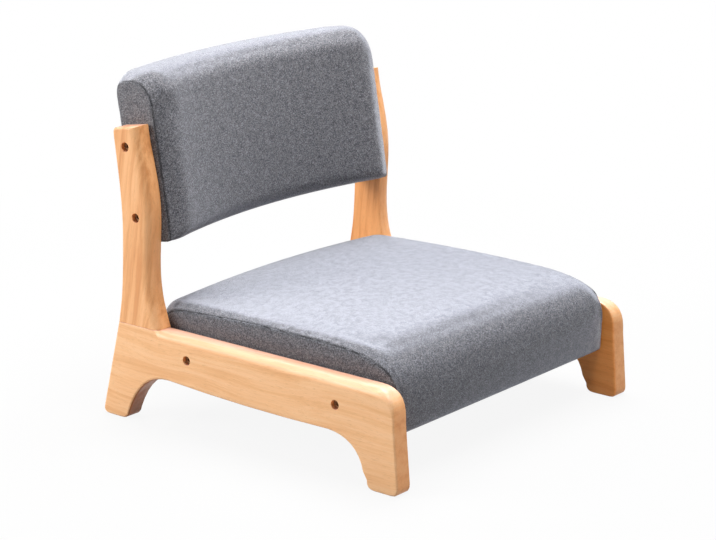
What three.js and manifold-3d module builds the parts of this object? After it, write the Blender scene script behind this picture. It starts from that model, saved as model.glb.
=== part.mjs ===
// Low floor chair: two wooden side frames carry a padded seat and a padded, curved backrest.
// Millimetres, +X to the front, +Y to the sitter's left, +Z up, the floor at Z 0.
// The origin lies on the floor under the middle of the chair.
import * as THREE from 'three';
import { mergeVertices } from 'three/addons/utils/BufferGeometryUtils.js';
import Module from 'manifold-3d';

// Driving dimensions of the side frames
const frameWidth = 510;
const frameDepth = 509;
const railThick = 27;
const railTop = 135;
const heelKick = 34;
const toeKick = 7.5;
const backFootLength = 47.5;
const frontFootLength = 51;
const footRound = 12;
const archRearHeight = 69.5;
const archFrontHeight = 64.5;
const rearArchLength = 75;
const frontArchLength = 63.5;
const legTopRound = 37;
const roundover = 13;
const jointRound = 1;
const jointFade = 6;
const edgeRound = 4;
const innerRound = 3;

// Driving dimensions of the back posts, which are as thick as the rails
const postHeight = 270;
const postFootWidth = 72.5;
const dowelDiameter = 10;
const dowelLength = 44;
const dowelRearInset = 19;
const dowelSpacing = 30;

// Driving dimensions of the seat
const seatRearInset = 72.5;
const seatFrontSetback = 22.5;
const seatBottom = 66;
const seamHeight = 168;
const seatCrown = 9;
const seatRearDraw = 10;
const seatFrontDraw = 1;
const seatShoulder = 22;
const seatFrameHeight = 50;
const seatFrameStock = 22;
const seatFrameRearInset = 14;
const seatFrameFrontInset = 18;
const seatBoardThick = 12;
const hemWidth = 12;
const dustCoverThick = 1;

// Driving dimensions of the backrest
const backLean = THREE.MathUtils.degToRad(9.5);
const backSag = 32;
const backPadFront = 46;
const backPadRear = 27;
const backPadBelow = 39;
const backPadAbove = 188;
const backTopRound = 32;
const backTopRearRound = 16;
const backBottomRound = 14;
const backEndReach = 34;
const backEndTopRound = 36;
const backEndBottomRound = 5;
const backEndDraws = { rear: 2, front: 14, low: 1, high: 9 };
const backCrown = 5;
const backBoardThick = 9;
const backBoardSet = 5;
const backBoardMargin = 12;
const backBoardTopMargin = 27;
const cleatDepth = 28;
const cleatWidth = 24;
const cleatOverrun = 26;
const endFoam = 4;

// Driving dimensions of the upholstery and the fixings
const coverThick = 2;
const fitGap = 0.3;
const sideGap = 0.5;
const boltDiameter = 6;
const boltLength = 32;
const boltHeadDiameter = 10;
const boltHeadHeight = 6;
const socketAcross = 5;
const socketDepth = 3;
const washerDiameter = 12;
const washerThick = 1.2;
const insertDiameter = 10;
const insertLength = 15;
const boreDiameter = 7;
const counterboreDiameter = 12.8;
const counterboreDepth = 13;
const seatBoltRearInset = 157;
const seatBoltRearHeight = 105;
const seatBoltFrontInset = 100.5;
const seatBoltFrontHeight = 100;
const backBoltInset = 37;
const backBoltDrop = 122;
const backBoltSpacing = 94;

// Counts of facets
const cornerSteps = 4;
const innerEdgeSteps = 2;
const outerEdgeSteps = 4;
const postFrontSteps = 24;
const postRearSteps = 16;
const seatBackSteps = 6;
const boardSteps = 16;
const cleatSteps = 2;
const roundSides = 16;
const socketSides = 6;

// Places worked out from the sizes above
const frameGap = frameWidth - 2 * railThick;
const heelX = -frameDepth / 2;
const toeX = frameDepth / 2;
const postRearX = heelX + heelKick;
const postFrontX = postRearX + postFootWidth;
const innerFace = frameGap / 2;
const cutOverrun = railThick;
const hands = { right: -1, left: 1 };

const wasm = await Module();
wasm.setup();

const oak = { color: 0xe6b583, roughness: 0.55, metalness: 0 };
const plywood = { color: 0xcfae7e, roughness: 0.7, metalness: 0 };
const fabric = { color: 0x70727a, roughness: 0.95, metalness: 0 };
const foam = { color: 0xe9dfc0, roughness: 0.95, metalness: 0 };
const lining = { color: 0x2b2b2d, roughness: 0.9, metalness: 0 };
const bronze = { color: 0x7a5f45, roughness: 0.4, metalness: 0.8 };
const steel = { color: 0xb9bcc0, roughness: 0.35, metalness: 0.9 };
const brass = { color: 0xb08d57, roughness: 0.4, metalness: 0.9 };

const chair = new THREE.Group();

function addPiece(name, geometry, finish) {
  const mesh = new THREE.Mesh(geometry, new THREE.MeshStandardMaterial(finish));
  mesh.name = name;
  chair.add(mesh);
}

// Solids for joins and cuts
function solidOf(geometry) {
  const bare = geometry.clone();
  bare.deleteAttribute('normal');
  bare.deleteAttribute('uv');
  const merged = mergeVertices(bare);
  return new wasm.Manifold(new wasm.Mesh({
    numProp: 3,
    vertProperties: new Float32Array(merged.getAttribute('position').array),
    triVerts: new Uint32Array(merged.getIndex().array),
  }));
}

function geometryOf(solid) {
  const mesh = solid.getMesh();
  const geometry = new THREE.BufferGeometry();
  geometry.setAttribute('position', new THREE.BufferAttribute(new Float32Array(mesh.vertProperties), 3));
  geometry.setIndex(new THREE.BufferAttribute(new Uint32Array(mesh.triVerts), 1));
  geometry.computeVertexNormals();
  return geometry;
}

function cut(solid, tools) {
  return tools.reduce((rest, tool) => rest.subtract(tool), solid);
}

function block(low, high) {
  const size = high.clone().sub(low);
  const middle = low.clone().add(high).divideScalar(2);
  return new THREE.BoxGeometry(size.x, size.y, size.z).translate(middle.x, middle.y, middle.z);
}

// A round bar along Y between two places
function barAlongY(diameter, x, z, fromY, toY) {
  const bar = new THREE.CylinderGeometry(diameter / 2, diameter / 2, Math.abs(toY - fromY), roundSides);
  return bar.translate(x, (fromY + toY) / 2, z);
}

// A round bar along Z between two places
function barAlongZ(diameter, x, y, fromZ, toZ) {
  const bar = new THREE.CylinderGeometry(diameter / 2, diameter / 2, toZ - fromZ, roundSides);
  return bar.rotateX(Math.PI / 2).translate(x, y, (fromZ + toZ) / 2);
}

// A closed skin over loops of points that each lie in one plane across Y, from low Y to high Y.
// Every loop runs anticlockwise with X to the right and Z up.
function skin(loops) {
  const count = loops[0].length;
  const index = [];
  for (let ring = 0; ring < loops.length - 1; ring++) {
    for (let i = 0; i < count; i++) {
      const next = (i + 1) % count;
      const a = ring * count + i;
      const b = ring * count + next;
      index.push(a, a + count, b);
      index.push(b, a + count, b + count);
    }
  }
  const flat = (loop) => loop.map((p) => new THREE.Vector2(p.x, p.z));
  const last = (loops.length - 1) * count;
  THREE.ShapeUtils.triangulateShape(flat(loops[0]), []).forEach(([a, b, c]) => index.push(a, b, c));
  THREE.ShapeUtils.triangulateShape(flat(loops[loops.length - 1]), [])
    .forEach(([a, b, c]) => index.push(last + a, last + c, last + b));
  const geometry = new THREE.BufferGeometry().setFromPoints(loops.flat());
  geometry.setIndex(index);
  geometry.computeVertexNormals();
  return geometry;
}

// Points along joined curves; each curve brings its step count and the rounding of its edges
function trace(pieces) {
  const points = [];
  for (const { curve, steps, from, to } of pieces) {
    for (let k = 0; k < steps; k++) {
      const point = curve.getPoint(k / steps);
      const along = (k + 0.5) / steps;
      points.push({ x: point.x, z: point.y, round: THREE.MathUtils.lerp(from, to ?? from, along) });
    }
  }
  return points;
}

const spot = (x, z) => new THREE.Vector2(x, z);
const straight = (a, b, steps, from, to) => ({ curve: new THREE.LineCurve(a, b), steps, from, to });
const bend = (a, corner, b, steps, from, to) => (
  { curve: new THREE.QuadraticBezierCurve(a, corner, b), steps, from, to });

// How far each outline point moves inwards when every edge moves in by its own rounding.
// A sharp corner keeps both edges parallel to themselves; elsewhere the mean rounding is used.
const sharpTurn = Math.sin(Math.PI / 6);

function insetMoves(outline) {
  const count = outline.length;
  const normals = outline.map((p, i) => {
    const q = outline[(i + 1) % count];
    return spot(q.z - p.z, p.x - q.x).normalize();
  });
  return outline.map((p, i) => {
    const before = (i + count - 1) % count;
    const n = normals[before];
    const m = normals[i];
    const r = outline[before].round;
    const s = p.round;
    const turn = n.x * m.y - n.y * m.x;
    if (Math.abs(turn) > sharpTurn) {
      return { x: (s * n.y - r * m.y) / turn, z: (r * m.x - s * n.x) / turn, round: Math.max(r, s) };
    }
    const mean = (r + s) / 2;
    const share = -mean / (1 + n.dot(m));
    return { x: (n.x + m.x) * share, z: (n.y + m.y) * share, round: mean };
  });
}

// A board on edge: the outline lies in XZ and the thickness runs outwards from the inner face.
// The outer edges have the rounding that the outline gives, the inner edges one small rounding.
function roundedBoard(outline, side) {
  const outer = insetMoves(outline);
  const inner = insetMoves(outline.map((p) => ({ ...p, round: Math.min(p.round, innerRound) })));
  const loop = (moves, share, height) => outline.map((p, i) => new THREE.Vector3(
    p.x + moves[i].x * share,
    side * (innerFace + height(moves[i].round)),
    p.z + moves[i].z * share));
  const loops = [];
  for (let k = 0; k <= innerEdgeSteps; k++) {
    const angle = (k / innerEdgeSteps) * Math.PI / 2;
    loops.push(loop(inner, 1 - Math.sin(angle), (round) => round * (1 - Math.cos(angle))));
  }
  for (let k = 0; k <= outerEdgeSteps; k++) {
    const angle = (k / outerEdgeSteps) * Math.PI / 2;
    loops.push(loop(outer, 1 - Math.cos(angle), (round) => railThick - round * (1 - Math.sin(angle))));
  }
  return skin(side > 0 ? loops : loops.reverse());
}

// Side rail: rail, back leg and front leg are one board
const rearArchStartShare = 0.16;
const rearArchCornerShare = 0.35;
const rearArchCornerHeightShare = 1.02;
const frontArchCornerShare = 0.24;
const frontArchCornerHeightShare = 0.96;
const frontArchEndShare = 0.1;
const frontArchEndHeightShare = 0.34;
const railBowShare = 0.88;
const legStraightShare = 0.66;

function sideRailOutline() {
  const backFootX = heelX + backFootLength;
  const frontFootX = toeX - frontFootLength;
  const legFrontX = toeX - toeKick;
  const heelSlope = heelKick / railTop;
  const rearArchStart = spot(
    backFootX + rearArchStartShare * footRound, rearArchStartShare * archRearHeight);
  const rearArchCorner = spot(
    backFootX + rearArchCornerShare * rearArchLength, rearArchCornerHeightShare * archRearHeight);
  const rearArchEnd = spot(backFootX + rearArchLength, archRearHeight);
  const frontArchStart = spot(frontFootX - frontArchLength, archFrontHeight);
  const frontArchCorner = spot(
    frontFootX - frontArchCornerShare * frontArchLength, frontArchCornerHeightShare * archFrontHeight);
  const frontArchEnd = spot(
    frontFootX - frontArchEndShare * frontArchLength, frontArchEndHeightShare * archFrontHeight);
  const bow = spot((rearArchEnd.x + frontArchStart.x) / 2, railBowShare * archRearHeight);
  const legBreak = spot(legFrontX, legStraightShare * railTop);
  const underPost = spot(postFrontX - jointFade, railTop);
  const heelTurn = spot(heelX + heelSlope * footRound, footRound);
  const toeTurn = spot(toeX - toeKick * footRound / legBreak.y, footRound);
  return trace([
    bend(heelTurn, spot(heelX, 0), spot(heelX + footRound, 0), cornerSteps, innerRound),
    straight(spot(heelX + footRound, 0), spot(backFootX - footRound, 0), 1, innerRound),
    bend(spot(backFootX - footRound, 0), spot(backFootX, 0), rearArchStart, cornerSteps, innerRound),
    bend(rearArchStart, rearArchCorner, rearArchEnd, 2 * cornerSteps, edgeRound),
    bend(rearArchEnd, bow, frontArchStart, cornerSteps, edgeRound),
    bend(frontArchStart, frontArchCorner, frontArchEnd, 2 * cornerSteps, edgeRound),
    straight(frontArchEnd, spot(frontFootX, footRound), 1, edgeRound),
    bend(spot(frontFootX, footRound), spot(frontFootX, 0), spot(frontFootX + footRound, 0),
      cornerSteps, innerRound),
    straight(spot(frontFootX + footRound, 0), spot(toeX - footRound, 0), 1, innerRound),
    bend(spot(toeX - footRound, 0), spot(toeX, 0), toeTurn, cornerSteps, innerRound),
    straight(toeTurn, legBreak, cornerSteps, innerRound),
    straight(legBreak, spot(legFrontX, railTop - legTopRound), 1, innerRound),
    bend(spot(legFrontX, railTop - legTopRound), spot(legFrontX, railTop),
      spot(legFrontX - legTopRound, railTop), 2 * cornerSteps, innerRound, roundover),
    straight(spot(legFrontX - legTopRound, railTop), spot(postFrontX, railTop), cornerSteps, roundover),
    straight(spot(postFrontX, railTop), underPost, 2, roundover, jointRound),
    straight(underPost, spot(postRearX, railTop), cornerSteps, jointRound),
    straight(spot(postRearX, railTop), heelTurn, cornerSteps, edgeRound),
  ]);
}

// Back post: shares of the foot width and of the post height, from the rear foot corner upwards
const postFrontShares = [
  [1, 0], [0.915, 0.067], [0.835, 0.145], [0.79, 0.24], [0.787, 0.33], [0.81, 0.44],
  [0.826, 0.54], [0.815, 0.63], [0.765, 0.72], [0.69, 0.815], [0.61, 0.9], [0.565, 0.97],
];
const postTopFrontShare = [0.55, 1];
const postTopRearShare = [-0.012, 0.975];
const postRearShares = [
  [-0.005, 0.94], [0.045, 0.83], [0.1, 0.72], [0.14, 0.6], [0.155, 0.51],
  [0.148, 0.4], [0.125, 0.26], [0.085, 0.13], [0, 0],
];

function postSpot([widthShare, heightShare]) {
  const foot = railTop + fitGap;
  return spot(postRearX + widthShare * postFootWidth, foot + heightShare * (postHeight - fitGap));
}

function postOutline() {
  const front = postFrontShares.map(postSpot);
  const rear = postRearShares.map(postSpot);
  const topFront = postSpot(postTopFrontShare);
  const topRear = postSpot(postTopRearShare);
  const topWay = topFront.clone().sub(topRear).normalize();
  const runOut = topFront.clone().addScaledVector(topWay, -roundover - innerRound);
  const topStart = topRear.clone().addScaledVector(topWay, edgeRound);
  return trace([
    { curve: new THREE.SplineCurve(front), steps: postFrontSteps, from: roundover },
    straight(front[front.length - 1], topFront, 1, roundover),
    straight(topFront, runOut, 1, innerRound),
    straight(runOut, topStart, 1, innerRound),
    bend(topStart, topRear, rear[0], cornerSteps, innerRound),
    { curve: new THREE.SplineCurve(rear), steps: postRearSteps, from: edgeRound },
    straight(rear[rear.length - 1], front[0], 1, 0),
  ]);
}

// Places of the fixings; outwards from the inner face of a side frame
const backUp = spot(-Math.sin(backLean), Math.cos(backLean));
const backForward = spot(Math.cos(backLean), Math.sin(backLean));
const lowerBackBolt = spot(postRearX + backBoltInset, railTop + postHeight - backBoltDrop);
const upperBackBolt = lowerBackBolt.clone().addScaledVector(backUp, backBoltSpacing);
const seatBoltFront = spot(toeX - seatBoltFrontInset, seatBoltFrontHeight);
const seatBoltRear = spot(heelX + seatBoltRearInset, seatBoltRearHeight);
const seatBolts = { front: seatBoltFront, rear: seatBoltRear };
const backBolts = { upper: upperBackBolt, lower: lowerBackBolt };
const postMiddle = innerFace + railThick / 2;
const headSeat = innerFace + railThick - counterboreDepth;
const dowelXs = {
  rear: postRearX + dowelRearInset,
  front: postRearX + dowelRearInset + dowelSpacing,
};

function boltHole(place, side) {
  const outside = frameWidth / 2 + cutOverrun;
  const through = barAlongY(
    boreDiameter, place.x, place.y, side * (innerFace - cutOverrun), side * outside);
  const recess = barAlongY(counterboreDiameter, place.x, place.y, side * headSeat, side * outside);
  return [solidOf(through), solidOf(recess)];
}

function dowelHoles(side) {
  const reach = dowelLength / 2 + fitGap;
  return Object.values(dowelXs).map((x) => solidOf(barAlongZ(
    dowelDiameter + 2 * fitGap, x, side * postMiddle, railTop - reach, railTop + reach)));
}

function addSideFrame(hand, side) {
  const rail = solidOf(roundedBoard(sideRailOutline(), side));
  const railHoles = Object.values(seatBolts).flatMap((place) => boltHole(place, side));
  addPiece(`${hand}_side_rail`, geometryOf(cut(rail, [...railHoles, ...dowelHoles(side)])), oak);
  const post = solidOf(roundedBoard(postOutline(), side));
  const postHoles = Object.values(backBolts).flatMap((place) => boltHole(place, side));
  addPiece(`${hand}_back_post`, geometryOf(cut(post, [...postHoles, ...dowelHoles(side)])), oak);
  for (const [end, x] of Object.entries(dowelXs)) {
    const dowel = barAlongZ(
      dowelDiameter, x, side * postMiddle, railTop - dowelLength / 2, railTop + dowelLength / 2);
    addPiece(`${hand}_post_dowel_${end}`, dowel, oak);
  }
}

// A ring along Y, from one height to another
function ring(outerDiameter, low, high) {
  const bore = boltDiameter / 2 + fitGap;
  const outer = outerDiameter / 2;
  return new THREE.LatheGeometry([
    spot(bore, low), spot(outer, low), spot(outer, high), spot(bore, high), spot(bore, low),
  ], roundSides);
}

// A socket-head bolt along Y, with the place where its washer rests at 0
function socketBolt() {
  const underHead = washerThick + 2 * fitGap;
  const headTop = underHead + boltHeadHeight;
  const body = new THREE.LatheGeometry([
    spot(0, underHead - boltLength), spot(boltDiameter / 2, underHead - boltLength),
    spot(boltDiameter / 2, underHead), spot(boltHeadDiameter / 2, underHead),
    spot(boltHeadDiameter / 2, headTop), spot(0, headTop),
  ], roundSides);
  const radius = socketAcross / 2 / Math.cos(Math.PI / socketSides);
  const socket = new THREE.CylinderGeometry(radius, radius, 2 * socketDepth, socketSides);
  return geometryOf(solidOf(body).subtract(solidOf(socket.translate(0, headTop, 0))));
}

// A bolt, a washer and a threaded insert on one line along Y; the bolt head points outwards
function addFixing(name, place, side, insertFace) {
  const set = (geometry, y) => {
    geometry.rotateX(side > 0 ? 0 : Math.PI);
    return geometry.translate(place.x, side * y, place.y);
  };
  addPiece(`${name}_bolt`, set(socketBolt(), headSeat), bronze);
  addPiece(`${name}_washer`, set(ring(washerDiameter, fitGap, fitGap + washerThick), headSeat), steel);
  addPiece(`${name}_insert`, set(ring(insertDiameter, -insertLength, 0), insertFace), brass);
}

// Seat: shares of the seat length and of the seam height, for the outline seen from the side
const seatRearRiseShare = 0.57;
const seatRearRunShares = { seam: 0.15, middle: 0.065 };
const seatRearDropShares = { seam: 0.06, middle: 0.025 };
const seatCrownCornerShare = 0.45;
const seatCrownLiftShare = 0.025;
const seatBreakShare = 0.745;
const seatBreakDropShare = 0.01;
const waterfallHighShare = 0.9;
const waterfallHighDropShare = 0.035;
const waterfallLowDropShare = 0.13;
const waterfallEndDropShare = 0.52;
const seatFrontLeanShare = 0.005;
const shoulderShares = [0, 0.16, 0.38, 0.66, 1];
const middleShares = [0.66, 0.33, 0];
const shoulderCrownShare = 0.7;

const seatRearX = heelX + seatRearInset;
const seatFrontX = toeX - seatFrontSetback;
const seatHalfWidth = innerFace - sideGap;

// The outline at the side seam when grow is 0, and at the middle of the seat when grow is 1
function seatOutline(grow) {
  const rear = seatRearX + (1 - grow) * seatRearDraw;
  const front = seatFrontX - (1 - grow) * seatFrontDraw;
  const top = seamHeight + grow * seatCrown;
  const rise = top - seatBottom;
  const length = front - rear;
  const along = (share) => rear + share * length;
  const below = (share) => top - share * rise;
  const rearTurn = spot(rear, seatBottom + seatRearRiseShare * rise);
  const between = ({ seam, middle }) => THREE.MathUtils.lerp(seam, middle, grow);
  const shoulder = spot(along(between(seatRearRunShares)), below(between(seatRearDropShares)));
  const crown = spot(along(seatCrownCornerShare), below(-seatCrownLiftShare));
  const waterfall = spot(along(seatBreakShare), below(seatBreakDropShare));
  const nose = spot(front, below(waterfallEndDropShare));
  const waterfallCurve = new THREE.CubicBezierCurve(
    nose, spot(front, below(waterfallLowDropShare)),
    spot(along(waterfallHighShare), below(waterfallHighDropShare)), waterfall);
  const toeEnd = spot(front - seatFrontLeanShare * length, seatBottom);
  return trace([
    straight(spot(rear, seatBottom), toeEnd, 2 * cornerSteps, 0),
    straight(toeEnd, nose, 2, 0),
    { curve: waterfallCurve, steps: 2 * cornerSteps, from: 0 },
    bend(waterfall, crown, shoulder, 2 * cornerSteps, 0),
    bend(shoulder, spot(rear, shoulder.y), rearTurn, seatBackSteps, 0),
    straight(rearTurn, spot(rear, seatBottom), 2, 0),
  ]);
}

// The seat's padded form, moved in on every side by inset
function seatForm(inset) {
  const half = seatHalfWidth - inset;
  const shoulder = shoulderShares.map((share) => (
    { y: half - share * seatShoulder, grow: shoulderCrownShare * Math.sin(share * Math.PI / 2) }));
  const flat = half - seatShoulder;
  const middle = middleShares.map((share) => (
    { y: share * flat, grow: shoulderCrownShare + (1 - shoulderCrownShare) * (1 - share * share) }));
  const oneSide = [...shoulder, ...middle];
  const otherSide = oneSide.slice(0, -1).map(({ y, grow }) => ({ y: -y, grow }));
  return skin([...otherSide, ...oneSide.reverse()].map(({ y, grow }) => {
    const outline = seatOutline(grow).map((p) => ({ ...p, round: inset }));
    const moves = insetMoves(outline);
    return outline.map((p, i) => new THREE.Vector3(p.x + moves[i].x, y, p.z + moves[i].z));
  }));
}

const boltClearance = boltDiameter + 2 * fitGap;
const seatInnerHalf = seatHalfWidth - coverThick - fitGap;
const seatFrameLow = seatBottom + coverThick + fitGap;
const seatFrameHigh = seatFrameLow + seatFrameHeight;
const seatFrameRearX = seatRearX + seatFrameRearInset;
const seatFrameFrontX = seatFrontX - seatFrameFrontInset;
const seatBoardLow = seatFrameHigh + fitGap;
const seatBoardHigh = seatBoardLow + seatBoardThick;
const point = (x, y, z) => new THREE.Vector3(x, y, z);
const spanOf = (side, from, to) => (side > 0 ? [from, to] : [-to, -from]);

function holesAcross(places, diameter, reach) {
  return Object.values(places)
    .map((place) => solidOf(barAlongY(diameter, place.x, place.y, -reach, reach)));
}

function addSeat() {
  const frameLow = point(seatFrameRearX, -seatInnerHalf, seatFrameLow);
  const frameHigh = point(seatFrameFrontX, seatInnerHalf, seatFrameHigh);
  const insertHole = insertDiameter + 2 * fitGap;
  for (const [hand, side] of Object.entries(hands)) {
    const [fromY, toY] = spanOf(side, seatInnerHalf - seatFrameStock, seatInnerHalf);
    const member = solidOf(block(
      point(frameLow.x, fromY, frameLow.z), point(frameHigh.x, toY, frameHigh.z)));
    const holes = holesAcross(seatBolts, insertHole, innerFace);
    addPiece(`seat_frame_${hand}`, geometryOf(cut(member, holes)), oak);
  }
  const crossHalf = seatInnerHalf - seatFrameStock - fitGap;
  const crossRail = (fromX, toX) => block(
    point(fromX, -crossHalf, frameLow.z), point(toX, crossHalf, frameHigh.z));
  addPiece('seat_frame_front', crossRail(frameHigh.x - seatFrameStock, frameHigh.x), oak);
  addPiece('seat_frame_rear', crossRail(frameLow.x, frameLow.x + seatFrameStock), oak);
  addPiece('seat_board', block(
    point(frameLow.x, frameLow.y, seatBoardLow), point(frameHigh.x, frameHigh.y, seatBoardHigh)), plywood);

  const frameRoom = solidOf(block(
    point(frameLow.x - fitGap, -innerFace, seatBottom - cutOverrun),
    point(frameHigh.x + fitGap, innerFace, seatBoardHigh + fitGap)));
  const foamForm = solidOf(seatForm(coverThick + fitGap));
  addPiece('seat_foam', geometryOf(foamForm.subtract(frameRoom)), foam);

  const hemEdge = hemWidth + coverThick;
  const mouthHalf = seatHalfWidth - hemEdge;
  const mouthRearX = seatRearX + seatRearDraw + hemEdge;
  const mouthFrontX = seatFrontX - seatFrontDraw - hemEdge - coverThick;
  const mouth = solidOf(block(
    point(mouthRearX, -mouthHalf, seatBottom - cutOverrun), point(mouthFrontX, mouthHalf, seatFrameLow)));
  const boltHoles = holesAcross(seatBolts, boltClearance, frameGap);
  const coverTools = [solidOf(seatForm(coverThick)), mouth, ...boltHoles];
  addPiece('seat_cover', geometryOf(cut(solidOf(seatForm(0)), coverTools)), fabric);
  addPiece('seat_dust_cover', block(
    point(mouthRearX + fitGap, fitGap - mouthHalf, seatFrameLow - fitGap - dustCoverThick),
    point(mouthFrontX - fitGap, mouthHalf - fitGap, seatFrameLow - fitGap)), lining);
}

// Backrest: a place is given across the chair, forward of the bolt line, and up the lean
// from the lower bolt
const backHalfWidth = innerFace - sideGap;

function backPoint(y, forward, up) {
  const sag = backSag * (1 - (y / backHalfWidth) ** 2);
  return point(
    lowerBackBolt.x + forward * backForward.x + up * backUp.x - sag, y,
    lowerBackBolt.y + forward * backForward.y + up * backUp.y);
}

// A four-sided section with round corners, anticlockwise from the lower rear corner, with a crowned front
function roundedSection({ rear, front, low, high, rounds, crown }) {
  const corners = [
    [rear, low, 1, 1, rounds.lowRear, Math.PI],
    [front, low, -1, 1, rounds.lowFront, 1.5 * Math.PI],
    [front, high, -1, -1, rounds.highFront, 0],
    [rear, high, 1, -1, rounds.highRear, 0.5 * Math.PI],
  ];
  const loop = [];
  corners.forEach(([v, u, inV, inU, round, start], corner) => {
    for (let k = 0; k <= cornerSteps; k++) {
      const angle = start + (k / cornerSteps) * Math.PI / 2;
      loop.push(spot(v + inV * round + round * Math.cos(angle), u + inU * round + round * Math.sin(angle)));
    }
    if (corner === 1) {
      for (let k = 1; k < cornerSteps; k++) {
        const from = low + rounds.lowFront;
        const to = high - rounds.highFront;
        loop.push(spot(front, THREE.MathUtils.lerp(from, to, k / cornerSteps)));
      }
    }
  });
  const middle = (low + high) / 2;
  const half = (high - low) / 2;
  return loop.map((p) => {
    const forwardShare = (p.x - rear) / (front - rear);
    const bulge = crown * Math.max(forwardShare, 0) * (1 - ((p.y - middle) / half) ** 2);
    return spot(p.x + bulge, p.y);
  });
}

const backEndPower = 2.2;
const backEndShares = [1, 0.86, 0.7, 0.45, 0];
const backMiddleShares = [0.6, 0.25];

// The backrest's padded form, moved in on every side by inset; near its ends every side draws in
function backForm(inset) {
  const half = backHalfWidth - inset;
  const flat = half - backEndReach;
  const ends = backEndShares.map((share) => flat + share * backEndReach);
  const oneSide = [...ends, ...backMiddleShares.map((share) => share * flat)];
  const places = [...oneSide.map((y) => -y), ...oneSide.reverse()];
  return skin(places.map((y) => {
    const past = Math.max(Math.abs(y) - flat, 0) / backEndReach;
    const draw = (side) => inset + backEndDraws[side] * past ** backEndPower;
    const section = roundedSection({
      rear: draw('rear') - backPadRear,
      front: backPadFront - draw('front'),
      low: draw('low') - backPadBelow,
      high: backPadAbove - draw('high'),
      rounds: {
        lowRear: backBottomRound - inset,
        lowFront: THREE.MathUtils.lerp(backBottomRound, backEndBottomRound, past) - inset,
        highFront: THREE.MathUtils.lerp(backTopRound, backEndTopRound, past) - inset,
        highRear: backTopRearRound - inset,
      },
      crown: backCrown * (1 - (y / backHalfWidth) ** 2),
    });
    return section.map((p) => backPoint(y, p.x, p.y));
  }));
}

// A plate or block that follows the curve of the backrest
function backBlock(fromY, toY, rear, front, low, high, steps) {
  const loops = [];
  for (let k = 0; k <= steps; k++) {
    const y = THREE.MathUtils.lerp(fromY, toY, k / steps);
    const corners = [[rear, low], [front, low], [front, high], [rear, high]];
    loops.push(corners.map(([forward, up]) => backPoint(y, forward, up)));
  }
  return skin(loops);
}

const backInnerHalf = backHalfWidth - coverThick - fitGap - endFoam;
const boardRear = -backPadRear + coverThick + fitGap + backBoardSet;
const boardFront = boardRear + backBoardThick;
const boardLow = -backPadBelow + backBoardMargin;
const boardHigh = backPadAbove - backBoardTopMargin;
const cleatRear = boardFront + fitGap;
const cleatFront = cleatRear + cleatDepth;
const cleatLow = boardLow;
const cleatHigh = backBoltSpacing + cleatOverrun;

function addBackrest() {
  const board = backBlock(
    -backInnerHalf, backInnerHalf, boardRear, boardFront, boardLow, boardHigh, boardSteps);
  addPiece('backrest_board', board, plywood);
  const rooms = [solidOf(backBlock(
    -backInnerHalf - fitGap, backInnerHalf + fitGap, boardRear - fitGap, boardFront + fitGap,
    boardLow - fitGap, boardHigh + fitGap, boardSteps))];
  const insertHoles = holesAcross(backBolts, insertDiameter + 2 * fitGap, innerFace);
  for (const [hand, side] of Object.entries(hands)) {
    const [fromY, toY] = spanOf(side, backInnerHalf - cleatWidth, backInnerHalf);
    const cleat = solidOf(backBlock(
      fromY, toY, cleatRear, cleatFront, cleatLow, cleatHigh, cleatSteps));
    addPiece(`backrest_cleat_${hand}`, geometryOf(cut(cleat, insertHoles)), oak);
    const [roomFrom, roomTo] = spanOf(
      side, backInnerHalf - cleatWidth - fitGap, backInnerHalf + fitGap);
    rooms.push(solidOf(backBlock(
      roomFrom, roomTo, cleatRear - 2 * fitGap, cleatFront + fitGap,
      cleatLow - fitGap, cleatHigh + fitGap, cleatSteps)));
  }
  const boltHoles = holesAcross(backBolts, boltClearance, frameGap);
  const foamForm = solidOf(backForm(coverThick + fitGap));
  addPiece('backrest_foam', geometryOf(cut(foamForm, [...rooms, ...boltHoles])), foam);
  const coverTools = [solidOf(backForm(coverThick)), ...boltHoles];
  addPiece('backrest_cover', geometryOf(cut(solidOf(backForm(0)), coverTools)), fabric);
}

function addFixings(hand, side) {
  for (const [end, place] of Object.entries(seatBolts)) {
    addFixing(`${hand}_seat_${end}`, place, side, seatInnerHalf);
  }
  for (const [end, place] of Object.entries(backBolts)) {
    addFixing(`${hand}_back_${end}`, place, side, backInnerHalf);
  }
}

Object.entries(hands).forEach(([hand, side]) => addSideFrame(hand, side));
addSeat();
addBackrest();
Object.entries(hands).forEach(([hand, side]) => addFixings(hand, side));

// The origin goes under the middle of the whole chair
const bounds = new THREE.Box3().setFromObject(chair);
chair.position.x = -(bounds.min.x + bounds.max.x) / 2;

export default chair;
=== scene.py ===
import math

import bmesh
import bpy
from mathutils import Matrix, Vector, noise
from mathutils.kdtree import KDTree


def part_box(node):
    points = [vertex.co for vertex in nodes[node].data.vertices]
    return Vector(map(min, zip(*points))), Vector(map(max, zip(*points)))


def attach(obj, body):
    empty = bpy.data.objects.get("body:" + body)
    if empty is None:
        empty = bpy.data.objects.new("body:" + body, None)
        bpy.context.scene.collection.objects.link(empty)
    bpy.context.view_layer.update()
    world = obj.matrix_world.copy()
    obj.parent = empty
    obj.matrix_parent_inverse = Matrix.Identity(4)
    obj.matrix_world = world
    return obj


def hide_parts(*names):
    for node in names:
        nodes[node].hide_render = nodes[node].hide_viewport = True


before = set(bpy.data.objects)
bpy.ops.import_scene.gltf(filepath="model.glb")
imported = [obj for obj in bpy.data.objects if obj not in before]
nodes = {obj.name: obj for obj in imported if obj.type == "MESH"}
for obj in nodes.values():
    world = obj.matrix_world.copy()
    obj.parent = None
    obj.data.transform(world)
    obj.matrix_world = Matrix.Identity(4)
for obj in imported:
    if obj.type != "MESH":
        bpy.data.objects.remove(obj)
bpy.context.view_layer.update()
print("frame loaded:", len(nodes), "nodes")


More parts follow.
